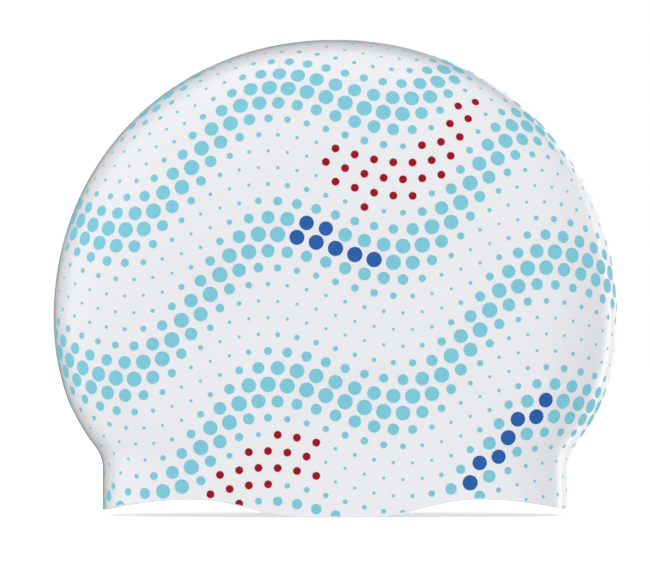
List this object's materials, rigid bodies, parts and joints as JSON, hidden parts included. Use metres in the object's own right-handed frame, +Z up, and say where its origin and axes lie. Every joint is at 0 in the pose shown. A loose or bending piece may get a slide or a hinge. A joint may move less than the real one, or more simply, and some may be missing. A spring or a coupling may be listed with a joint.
{
  "type": "swim cap",
  "caption": "Moulded silicone swim cap standing open on its rim: flattened dome, straight neck band, wavy rim with ear lobes, thin hollow wall.",
  "frame": {"origin": "on the surface that the rim rests on, under the middle of the cap", "axes": "+X from the nape to the forehead, the cap's length; +Y from one ear to the other, its narrow way; +Z up"},
  "size_m": [0.198, 0.06, 0.167],
  "materials": {
    "silicone_white": "satin",
    "ink_turquoise": "satin",
    "ink_red": "satin",
    "ink_blue": "satin"
  },
  "bodies": {
    "root": {"cap_shell": "silicone_white"}
  },
  "joints": []
}
